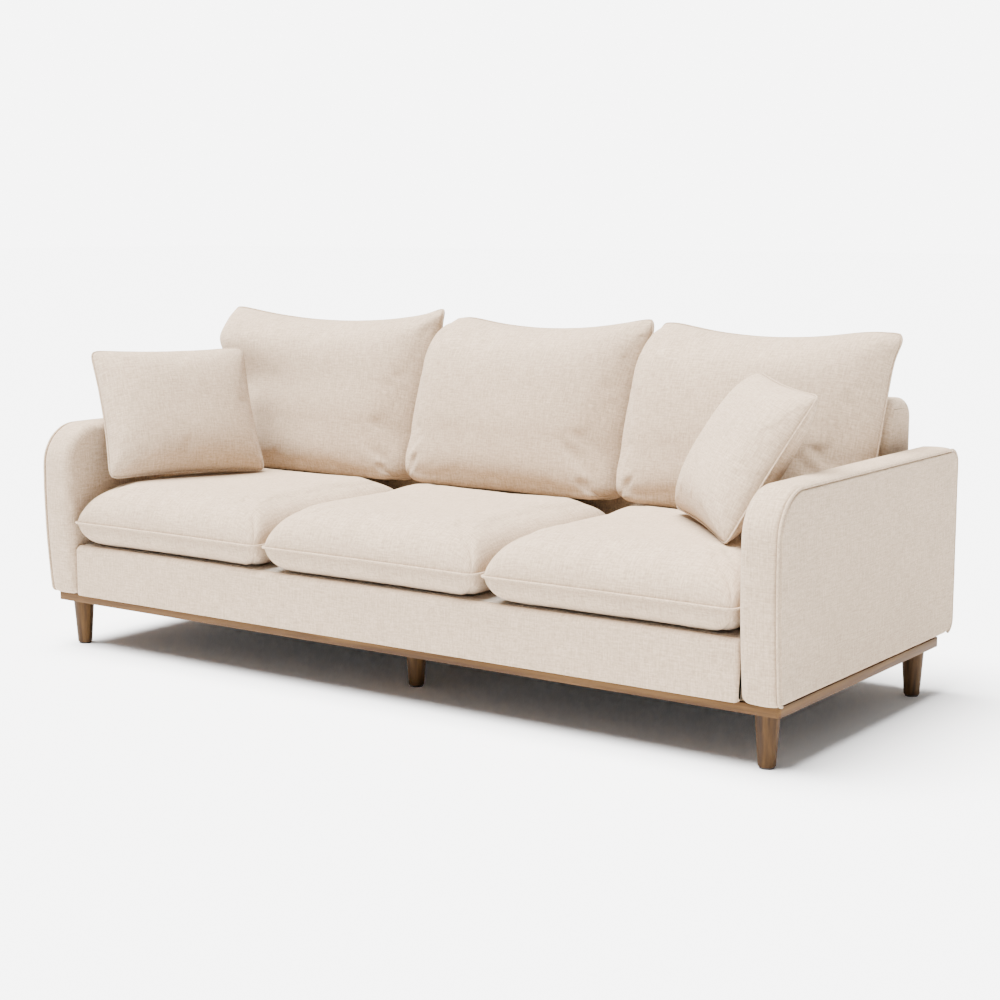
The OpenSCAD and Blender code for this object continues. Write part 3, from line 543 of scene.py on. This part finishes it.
def arm_rings():
    """Distance across the arm and how far in the outline sits there: a quarter circle at the inner edge,
    a faint crown over the band, then a small step down at the seam to the outer panel."""
    width = arm_high[0] - arm_low[0]
    seam = width - ARM_SEAM_STEP
    a = np.radians(np.linspace(0, 90, 9))
    band = np.linspace(ARM_SOFT_EDGE, seam, 12)[1:-1]
    share = (band - ARM_SOFT_EDGE) / (seam - ARM_SOFT_EDGE)
    across = np.concatenate([
        [0], ARM_SOFT_EDGE * (1 - np.cos(a)), band,
        seam + np.array([-0.0012, 0.0, 0.0012, 0.0040, 0.0066, 0.0080, 0.0085, 0.0085]),
    ])
    inset = np.concatenate([
        [ARM_SOFT_EDGE + 0.004], ARM_SOFT_EDGE * (1 - np.sin(a)),
        -0.0012 * np.sin(np.pi * share) + 0.002 * share**6,
        [0.0035, 0.0070, 0.0086, 0.0088, 0.0098, 0.0120, 0.0150, 0.0190],
    ])
    return across, inset


def upholster(piece, node):
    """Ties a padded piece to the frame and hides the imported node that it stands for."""
    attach(piece, "frame")
    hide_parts(node)


for side, word in ((-1, "left"), (1, "right")):
    across, inset = arm_rings()
    lines = [arm_outline(d) for d in inset]
    stations = list(side * (arm_low[0] + across))
    if side < 0:
        lines, stations = lines[::-1], stations[::-1]
    arm = banded_body(f"arm_upholstery_{word}", lines, stations)
    arm.data.materials.append(sofa_linen)
    upholster(arm, f"arm_cover_{word}")
    seam_line = arm_outline(ARM_WELT_INSET)[:-SEAM_SHORT_OF_FOOT]
    seam_out = (arm_outline(-0.01) - arm_outline(0.01))[:-SEAM_SHORT_OF_FOOT]
    path = np.column_stack([np.full(len(seam_line), side * (arm_high[0] - ARM_WELT_INSET)), seam_line])
    outward = np.column_stack([np.full(len(seam_out), side * 0.02), seam_out])
    arm_welt = cord_sleeve(f"arm_welt_{word}", path, ARM_WELT, False, outward)
    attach(arm_welt, "frame")
    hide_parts(f"arm_piping_{word}")

# ---------------------------------------------------------------- front border and deck
# The front border is a padded board between the arms with a soft top edge, and the deck
# behind it is a lining cloth over felt on the straps, which the seat cushions lie on.
BORDER_TOP_TURN = 0.016
BORDER_END_TURN = 0.011
DECK_EDGE_TURN = 0.008
border_low, border_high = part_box("front_border")


def board_outline(low, high, turns, counts):
    """A rounded rectangle in the side view: four quarter circles of the given radii, from the foot front
    round by the top, with straights between them."""
    (y0, z0), (y1, z1) = low[1:], high[1:]
    foot_front, top_front, top_back, foot_back = turns
    return np.concatenate([
        turn_arc(y0 + foot_front, z0 + foot_front, foot_front, 270, 180, 6),
        straight((y0, z0 + foot_front), (y0, z1 - top_front), counts[0]),
        turn_arc(y0 + top_front, z1 - top_front, top_front, 180, 90, 10),
        straight((y0 + top_front, z1), (y1 - top_back, z1), counts[1]),
        turn_arc(y1 - top_back, z1 - top_back, top_back, 90, 0, 5),
        straight((y1, z1 - top_back), (y1, z0 + foot_back), counts[0]),
        turn_arc(y1 - foot_back, z0 + foot_back, foot_back, 0, -90, 5),
        straight((y1 - foot_back, z0), (y0 + foot_front, z0), counts[1]),
    ])


def soft_ended(name, outline, x0, x1, turn, count):
    """An outline carried between two ends, each end a quarter circle in how far the outline sits in."""
    a = np.radians(np.linspace(0, 90, 7))
    near, inset = turn * (1 - np.cos(a)), turn * (1 - np.sin(a))
    middle = np.linspace(x0 + turn, x1 - turn, count + 2)[1:-1]
    stations = np.concatenate([[x0], x0 + near, middle, x1 - near[::-1], [x1]])
    last = inset[:1] + 0.0015
    insets = np.concatenate([last, inset, np.zeros(count), inset[::-1], last])
    return banded_body(name, [inward(outline, d) for d in insets], list(stations))


border_turns = (0.004, BORDER_TOP_TURN, 0.004, 0.003)
border_line = board_outline(border_low, border_high, border_turns, (16, 1))
border = soft_ended("front_border_padding", border_line, border_low[0], border_high[0], BORDER_END_TURN, 90)
border.data.materials.append(sofa_linen)
upholster(border, "front_border")

deck_low, deck_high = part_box("seat_deck")
deck_thickness = deck_high[2] - deck_low[2]
deck_turn = min(DECK_EDGE_TURN, deck_thickness * 0.4)
deck_line = board_outline(deck_low, deck_high, (deck_turn,) * 4, (2, 60))
deck = soft_ended("seat_deck_cloth", deck_line, deck_low[0], deck_high[0], deck_turn, 90)
deck.data.materials.append(linen("deck_lining", (0.60, 0.53, 0.45), 0.0007))
upholster(deck, "seat_deck")

# ---------------------------------------------------------------- back
# A wedge of foam over a timber frame, upholstered in one closed cover that hangs down
# behind as a skirt. Only its two ends, top and rear show behind the loose cushions.
BACK_LEAN = math.radians(19.2)
BACK_FRONT_TURN = 0.022
BACK_REAR_TURN = 0.050
BACK_END_TURN = 0.024
BACK_SKIRT = 0.014
BACK_FOOT = 0.283
BACK_FACE_FOOT = 0.1708
BACK_STATIONS = 90
back_low, back_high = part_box("back_cover")
back_rear, back_top, skirt_foot = back_high[1], back_high[2], back_low[2]
skirt_y = back_rear - BACK_SKIRT
rear_y, rear_z = back_rear - BACK_REAR_TURN, back_top - BACK_REAR_TURN
face_z = back_top - BACK_FRONT_TURN
face_y = BACK_FACE_FOOT + (face_z - BACK_FOOT) * math.tan(BACK_LEAN) + BACK_FRONT_TURN / math.cos(BACK_LEAN)
face_top = (face_y - BACK_FRONT_TURN * math.cos(BACK_LEAN), face_z + BACK_FRONT_TURN * math.sin(BACK_LEAN))
back_outline = np.concatenate([
    straight((skirt_y, BACK_FOOT), (BACK_FACE_FOOT, BACK_FOOT), 12),
    [(BACK_FACE_FOOT, BACK_FOOT)],
    straight((BACK_FACE_FOOT, BACK_FOOT), face_top, 26),
    turn_arc(face_y, face_z, BACK_FRONT_TURN, 180 - math.degrees(BACK_LEAN), 90, 9),
    straight((face_y, back_top), (rear_y, back_top), 3),
    turn_arc(rear_y, rear_z, BACK_REAR_TURN, 90, 0, 12),
    straight((back_rear, rear_z), (back_rear, skirt_foot), 40),
    [(back_rear, skirt_foot), (skirt_y, skirt_foot)],
    straight((skirt_y, skirt_foot), (skirt_y, BACK_FOOT), 8),
    [(skirt_y, BACK_FOOT)],
])
a = np.radians(np.linspace(0, 90, 8))
end_near = BACK_END_TURN * (1 - np.cos(a))
end_inset = np.minimum(BACK_END_TURN * (1 - np.sin(a)), BACK_SKIRT * 0.4)
top_inset = BACK_END_TURN * (1 - np.sin(a))
share = np.clip((back_outline[:, 1] - BACK_FOOT) / 0.05, 0, 1)
back_middle = np.linspace(back_low[0] + BACK_END_TURN, back_high[0] - BACK_END_TURN, BACK_STATIONS + 2)[1:-1]
insets = [e + (t - e) * share for e, t in zip(end_inset, top_inset)]
insets = [insets[0] + 0.001, *insets]
insets = insets + [np.zeros(len(share))] * BACK_STATIONS + insets[::-1]
back_stations = np.concatenate([
    back_low[:1], back_low[0] + end_near, back_middle, back_high[0] - end_near[::-1], back_high[:1]
])
back = banded_body("back_upholstery", [inward(back_outline, d[:, None]) for d in insets], list(back_stations))
back.data.materials.append(sofa_linen)
upholster(back, "back_cover")

# ---------------------------------------------------------------- seat cushions
# Three loose knife-edged cushions: two panels cut with slack and sewn together over a
# piped welt, filled with a feather wrap round foam. They crown high and close to a thin edge.
# A panel is height, power and roundness; a draw is the share that the side, foot and top pull in by; a welt
# is its offset from the seam and its radius; stuffing is pressure, slack and cap.
PAD_ACROSS = 101
PAD_DEEP = 87
SEAM_GAP = 0.006
SEAT_PITCH = 0.668
SEAT_HALF = (0.3249, 0.3195)
SEAT_MIDDLE_Y = -0.142
SEAT_SEAM_Z = 0.345
SEAT_TOP = (0.097, 7.5, 0.45)
SEAT_UNDER = (0.0604, 14.0, 0.40)
SEAT_DRAW = (0.018, 0.018, 0.018)
SEAT_CORNER = 30.0
SEAT_WELT = (0.0034, 0.0031)
SEAT_PUCKER = 0.0012
SEAT_STUFFING = (5.0, 0.006, 0.008)
SEAT_REAR_FILL = 0.016
SEAT_ON_DECK = 0.0008
STUFFING_STEPS = 20
SINKING_KEPT = 0.2


def spread(count):
    """Grid parameters from -1 to 1, drawn towards the edges by a sine: the steep sides get more rows."""
    s = np.linspace(-1, 1, count)
    return 0.72 * np.sin(s * np.pi / 2) + 0.28 * s


def pad_plan(u, v, half, draw, corner):
    """Where a panel point lies in the cushion's plane. Sides pull in between the corners by draw times
    (1 - v^2), foot and top likewise, and the corners are rounded by dividing by the superellipse norm
    near the rim."""
    big = np.maximum(np.abs(u), np.abs(v))
    norm = (np.abs(u) ** corner + np.abs(v) ** corner) ** (1 / corner)
    rounded = 1 - (1 - big / np.maximum(norm, 1e-9)) * big**8
    x = half[0] * u * rounded * (1 - draw[0] * (1 - v**2))
    y = half[1] * v * rounded * (1 - np.where(v < 0, draw[1], draw[2]) * (1 - u**2))
    return x, y


def ripple(t, seed, waves):
    """A sum of sines of nearby wavelengths with seeded phases, between about -1 and 1."""
    rng = np.random.default_rng(seed)
    total = np.zeros_like(t)
    for wave in waves:
        strength, length, phase = rng.uniform(0.6, 1.0), wave * rng.uniform(0.85, 1.15), rng.uniform(0, 6.28)
        total = total + strength * np.sin(2 * np.pi * t / length + phase)
    return total / len(waves)


def pad_height(u, v, half, face, pucker, seed):
    """Half thickness: height times ((1 - |u|^p)(1 - |v|^p))^s. Puckers run in from the seam: a ripple along
    the rim that fades with distance, and folds fan out of each corner."""
    height, power, roundness = face
    full = ((1 - np.abs(u) ** power) * (1 - np.abs(v) ** power)).clip(0) ** roundness
    x, y = half[0] * u, half[1] * v
    from_side, from_end = half[0] - np.abs(x), half[1] - np.abs(y)
    fade = 1 - np.exp(-(np.minimum(from_side, from_end) / 0.006))
    ends = ripple(x + 0.37 * seed, seed, (0.021, 0.034, 0.055)) * np.exp(-from_end / 0.020)
    sides = ripple(y + 0.53 * seed, seed + 1, (0.021, 0.034, 0.055)) * np.exp(-from_side / 0.020)
    fans = np.zeros_like(x)
    for number, (cu, cv) in enumerate(((-1, -1), (1, -1), (1, 1), (-1, 1))):
        r = np.hypot(half[0] - cu * x, half[1] - cv * y)
        angle = np.arctan2(half[1] - cv * y, half[0] - cu * x)
        fan = ripple(angle * 0.2, seed + 5 + number, (0.035, 0.06, 0.10))
        fans += fan * (r / 0.06) * np.exp(-((r / 0.075) ** 2) / 1.2)
    slow = ripple(x * 1.0 + y * 0.4, seed + 11, (0.31, 0.47)) * ripple(y - x * 0.3, seed + 13, (0.29, 0.43))
    return height * full * (1 + 0.018 * slow) + fade * pucker * (0.55 * ends + 0.55 * sides + 0.9 * fans)


def stuffed_pad(name, half, top, under, draw, corner, turn, seed, pucker, cord, shape=None):
    """A knife-edged cushion and its welt. Two panels on one grid of parameters lie either side of the seam
    plane by their heights and half the seam gap, joined round the rim. turn is a 4x4 that puts
    the pad in place, and shape moves its local points (x, y, z) first, for a particular sag or ear.
    cord is how far out of the seam the welt's middle lies, and its radius.
    The map is run length along each panel, so the weave keeps its scale on the steep sides."""
    u, v = np.meshgrid(spread(PAD_ACROSS), spread(PAD_DEEP), indexing="ij")
    x, y = pad_plan(u, v, half, draw, corner)
    panels = [
        np.stack([x, y, SEAM_GAP / 2 + pad_height(u, v, half, top, pucker, seed)], -1),
        np.stack([x, y, -SEAM_GAP / 2 - pad_height(u, v, half, under, pucker, seed + 40)], -1),
    ]
    if shape:
        panels = [shape(p, half) for p in panels]
    maps = []
    for p in panels:
        su = np.cumsum(np.linalg.norm(np.diff(p, axis=0, prepend=p[:1]), axis=-1), axis=0)
        sv = np.cumsum(np.linalg.norm(np.diff(p, axis=1, prepend=p[:, :1]), axis=-1), axis=1)
        maps.append(np.stack([su - su[PAD_ACROSS // 2], sv - sv[:, [PAD_DEEP // 2]]], -1))
    index = np.arange(PAD_ACROSS * PAD_DEEP).reshape(PAD_ACROSS, PAD_DEEP)
    total = index.size
    cell = np.stack([index[:-1, :-1], index[1:, :-1], index[1:, 1:], index[:-1, 1:]], -1).reshape(-1, 4)
    rim = np.concatenate([index[:-1, 0], index[-1, :-1], index[:0:-1, -1], index[0, :0:-1]])
    after = np.roll(rim, -1)
    edge = np.stack([rim, rim + total, after + total, after], -1)
    quads = np.concatenate([cell, cell[:, ::-1] + total, edge])
    cloth = np.concatenate([maps[0].reshape(-1, 2), maps[1].reshape(-1, 2) * [-1, 1]])
    uv = cloth[quads]
    uv[2 * len(cell):, 1:3] = uv[2 * len(cell):][:, [0, 3]] + [SEAM_GAP, SEAM_GAP]
    local = np.concatenate([p.reshape(-1, 3) for p in panels])
    seam = (local[rim] + local[rim + total]) / 2
    twist, at = turn[:3, :3].T, turn[:3, 3]
    pad = shell(name, local @ twist + at, quads, uv.reshape(-1, 2))
    pad.data.materials.append(sofa_linen)
    ahead = unit(np.roll(seam, -1, 0) - np.roll(seam, 1, 0))
    out = np.stack([ahead[:, 1], -ahead[:, 0], np.zeros(len(seam))], -1)
    out = unit(out + np.roll(out, 1, 0) + np.roll(out, -1, 0))
    offset, radius = cord
    welt = cord_sleeve(name + "_welt", (seam + out * offset) @ twist + at, radius, True, out @ twist)
    return pad, welt, np.concatenate([rim, rim + total])


def fill_with_feather(pads, pressure, slack, cap):
    """Blows the sewn panels up: each is cloth cut larger by the slack, held at its seam, and pressed out from
    inside with no gravity for STUFFING_STEPS. A move of length d ends as cap times tanh(d / cap), so no
    point goes further than the cap, and only a small share of any sinking is kept."""
    scene = bpy.context.scene
    started = []
    for pad, seam in pads:
        seam_group = pad.vertex_groups.new(name="seam")
        seam_group.add([int(n) for n in seam], 1.0, "REPLACE")
        cloth = pad.modifiers.new("stuffing", "CLOTH")
        cloth.settings.quality = 5
        cloth.settings.mass = 0.35
        cloth.settings.tension_stiffness = 18
        cloth.settings.compression_stiffness = 14
        cloth.settings.shear_stiffness = 8
        cloth.settings.bending_stiffness = 6
        cloth.settings.air_damping = 3
        cloth.settings.shrink_min = -slack
        cloth.settings.vertex_group_mass = "seam"
        cloth.settings.use_pressure = True
        cloth.settings.uniform_pressure_force = pressure
        cloth.settings.effector_weights.gravity = 0
        cloth.collision_settings.use_collision = False
        cloth.point_cache.frame_start, cloth.point_cache.frame_end = 1, STUFFING_STEPS
        before = np.empty(len(pad.data.vertices) * 3)
        pad.data.vertices.foreach_get("co", before)
        started.append((pad, before.reshape(-1, 3)))
    for step in range(1, STUFFING_STEPS + 1):
        scene.frame_set(step)
    depsgraph = bpy.context.evaluated_depsgraph_get()
    for pad, before in started:
        blown = np.empty(len(before) * 3)
        pad.evaluated_get(depsgraph).data.vertices.foreach_get("co", blown)
        moved = blown.reshape(-1, 3) - before
        out = np.empty(len(before) * 3)
        pad.data.vertices.foreach_get("normal", out)
        out = out.reshape(-1, 3)
        along = (moved * out).sum(1, keepdims=True)
        moved = moved - out * np.minimum(along, 0) * (1 - SINKING_KEPT)
        far = np.linalg.norm(moved, axis=1, keepdims=True)
        after = before + moved * np.tanh(far / cap) * cap / np.maximum(far, 1e-9)
        pad.modifiers.clear()
        pad.vertex_groups.clear()
        pad.data.vertices.foreach_set("co", np.ascontiguousarray(after, dtype=np.float32).ravel())
        pad.data.update()
    scene.frame_set(1)


def finish_pad(pad, welt, body, nodes):
    """Smooths a pad by one subdivision and ties it and its welt to their body and nodes."""
    smooth = pad.modifiers.new("smooth_cloth", "SUBSURF")
    smooth.levels = smooth.render_levels = 1
    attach(pad, body)
    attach(welt, body)
    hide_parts(nodes + "_cover", nodes + "_core")
    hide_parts(nodes + "_piping")


def placed(at, *turns):
    """A 4x4 that turns about the named axes in order, last first, then moves to a point."""
    total = np.eye(4)
    total[:3, 3] = at
    for axis, degrees in turns:
        c, s = math.cos(math.radians(degrees)), math.sin(math.radians(degrees))
        i, j = {"X": (1, 2), "Y": (2, 0), "Z": (0, 1)}[axis]
        step = np.eye(4)
        step[i, i] = step[j, j] = c
        step[i, j], step[j, i] = -s, s
        total = total @ step
    return total


def smooth_step(t, start, width):
    """0 below the start, 1 past start + width, and 3 s^2 - 2 s^3 of the share s between them."""
    s = np.clip((t - start) / width, 0, 1)
    return s**2 * (3 - 2 * s)


def seat_settle(p, half):
    """The underside goes flat on the deck, and the rear corners of the top stay full: they rise by
    SEAT_REAR_FILL times a smooth step in v times u^4, and less near the seam."""
    rear = smooth_step(p[..., 1] / half[1], 0.20, 0.60)
    full = np.clip(p[..., 2] / 0.050, 0, 1)
    p[..., 2] += SEAT_REAR_FILL * rear * full * np.clip(np.abs(p[..., 0] / half[0]), 0, 1) ** 4
    floor_z = deck_high[2] + SEAT_ON_DECK - SEAT_SEAM_Z
    soft = 0.004
    over = p[..., 2] - floor_z - soft
    p[..., 2] = floor_z + soft + np.where(over < 0, soft * (np.exp(np.minimum(over, 0) / soft) - 1), over)
    return p


seats = []
for number, word in ((-1, "left"), (0, "centre"), (1, "right")):
    turn = placed((number * SEAT_PITCH, SEAT_MIDDLE_Y, SEAT_SEAM_Z))
    seats.append((word, *stuffed_pad(
        f"seat_{word}_pad", SEAT_HALF, SEAT_TOP, SEAT_UNDER, SEAT_DRAW, SEAT_CORNER, turn, 20 + number,
        SEAT_PUCKER, SEAT_WELT, seat_settle,
    )))
fill_with_feather([(pad, seam) for word, pad, welt, seam in seats], *SEAT_STUFFING)
for word, pad, welt, seam in seats:
    finish_pad(pad, welt, f"seat_cushion_{word}", f"seat_{word}")

# ---------------------------------------------------------------- back cushions
# Three loose feather cushions of the same making, softer than the seats. They lean on the
# back, fullest low down, with slack top edges between the ears that the corners form.
BACK_HALF = (0.3249, 0.2415)
BACK_MIDDLE = (0.2555, 0.6661)
BACK_TOP = (0.112, 2.8, 0.56)
BACK_UNDER = (0.041, 5.0, 0.50)
BACK_DRAW = (0.008, 0.020, 0.170)
BACK_CORNER = 20.0
BACK_WELT = (0.0012, 0.0026)
BACK_PUCKER = 0.0016
BACK_STUFFING = (5.0, 0.008, 0.010)
# How far the cushion over the arm spills sideways and forward, how far each left side bellies out and
# forward, how far each foot rolls down and forward, and each ear's corner, reach and offset
BACK_SPILL = (0.088, 0.060)
BACK_BELLY = (0.034, 0.024)
BACK_FOOT_ROLL = (0.033, 0.016)
BACK_FOOT_CORNER = 0.60
BELLY_WHERE_SPILLED = 0.6
EAR_MOVES = {
    "left": (((1, 1), 0.050, (0.010, 0.006, 0.012)), ((1, 0.86), 0.035, (-0.004, 0.0, 0.006))),
    "centre": (((-1, 1), 0.055, (0.012, -0.016, -0.004)), ((1, -1), 0.040, (0.002, 0.004, 0.006))),
    "right": (((-1, 1), 0.045, (0.006, -0.008, 0.0)), ((1, 1), 0.060, (0.016, -0.014, 0.0))),
}


def back_settle(word):
    """The changes that make each back cushion its own: every ear in its list moves by an offset that fades
    as exp(-(r / reach)^2), and the left cushion's upper left spills out over the arm and forward by
    a smooth step in v times ((1 - u) / 2)^1.6. The front's left side bellies out over the next cushion, and
    its foot rolls down over the seat, by smooth steps in u and in v that fade to nothing at the seam."""
    def settle(p, half):
        x, y = p[..., 0].copy(), p[..., 1].copy()
        moved = p.copy()
        u, v = x / half[0], y / half[1]
        front = smooth_step(p[..., 2], 0, 0.045)
        side = smooth_step(-u, 0.35, 0.60) * (1 - 0.45 * smooth_step(v, 0.35, 0.60))
        side *= BELLY_WHERE_SPILLED if word == "left" else 1
        foot = smooth_step(-v, 0.45, 0.50) * (1 + BACK_FOOT_CORNER * u**4)
        moved[..., 0] -= BACK_BELLY[0] * side * front
        moved[..., 1] -= BACK_FOOT_ROLL[0] * foot * front
        moved[..., 2] += (BACK_BELLY[1] * side + BACK_FOOT_ROLL[1] * foot) * front
        for (cu, cv), reach, offset in EAR_MOVES[word]:
            fade = np.exp(-((x - cu * half[0]) ** 2 + (y - cv * half[1]) ** 2) / reach**2)
            moved += fade[..., None] * np.array(offset)
        if word == "left":
            share = smooth_step(v, -0.15, 0.75) * (np.clip(1 - u, 0, None) / 2) ** 1.6
            moved[..., 0] -= BACK_SPILL[0] * share
            moved[..., 1] -= BACK_SPILL[1] * math.sin(BACK_LEAN) * share
            moved[..., 2] += BACK_SPILL[1] * math.cos(BACK_LEAN) * share
        return moved
    return settle


backs = []
for number, word in ((-1, "left"), (0, "centre"), (1, "right")):
    turn = placed((number * SEAT_PITCH, *BACK_MIDDLE), ("X", 90 - math.degrees(BACK_LEAN)))
    backs.append((word, *stuffed_pad(
        f"back_{word}_pad", BACK_HALF, BACK_TOP, BACK_UNDER, BACK_DRAW, BACK_CORNER, turn, 60 + number,
        BACK_PUCKER, BACK_WELT, back_settle(word),
    )))
fill_with_feather([(pad, seam) for word, pad, welt, seam in backs], *BACK_STUFFING)
for word, pad, welt, seam in backs:
    finish_pad(pad, welt, f"back_cushion_{word}", f"back_{word}")

# ---------------------------------------------------------------- throw pillows
# Two small knife-edged pillows in the same cloth with a fine welt, propped in the corners
# against the arms. Their filling has settled, so the edges sag between the corners.
PILLOW_HALF = (0.2165, 0.1865)
PILLOW_FACE = (0.074, 3.0, 0.54)
PILLOW_REAR = (0.056, 2.8, 0.56)
PILLOW_DRAW = (0.045, 0.050, 0.050)
PILLOW_CORNER = 19.0
PILLOW_WELT = (0.0018, 0.0026)
PILLOW_PUCKER = 0.0018
PILLOW_STUFFING = (5.0, 0.010, 0.008)
# Middle, then turn about the upright, lean back and roll in degrees, then the seed of its puckers
PILLOW_PLACES = (
    ("left", (-0.900, -0.155, 0.623), 62.0, 28.7, -0.5, 91),
    ("right", (0.817, -0.100, 0.620), -44.0, 31.5, -2.8, 97),
)

pillows = []
for word, at, yaw, lean, roll, seed in PILLOW_PLACES:
    turn = placed(at, ("Z", yaw), ("X", 90 - lean), ("Z", roll))
    pillows.append((word, *stuffed_pad(
        f"pillow_{word}_pad", PILLOW_HALF, PILLOW_FACE, PILLOW_REAR, PILLOW_DRAW, PILLOW_CORNER, turn, seed,
        PILLOW_PUCKER, PILLOW_WELT,
    )))
fill_with_feather([(pad, seam) for word, pad, welt, seam in pillows], *PILLOW_STUFFING)
for word, pad, welt, seam in pillows:
    finish_pad(pad, welt, f"throw_pillow_{word}", f"pillow_{word}")
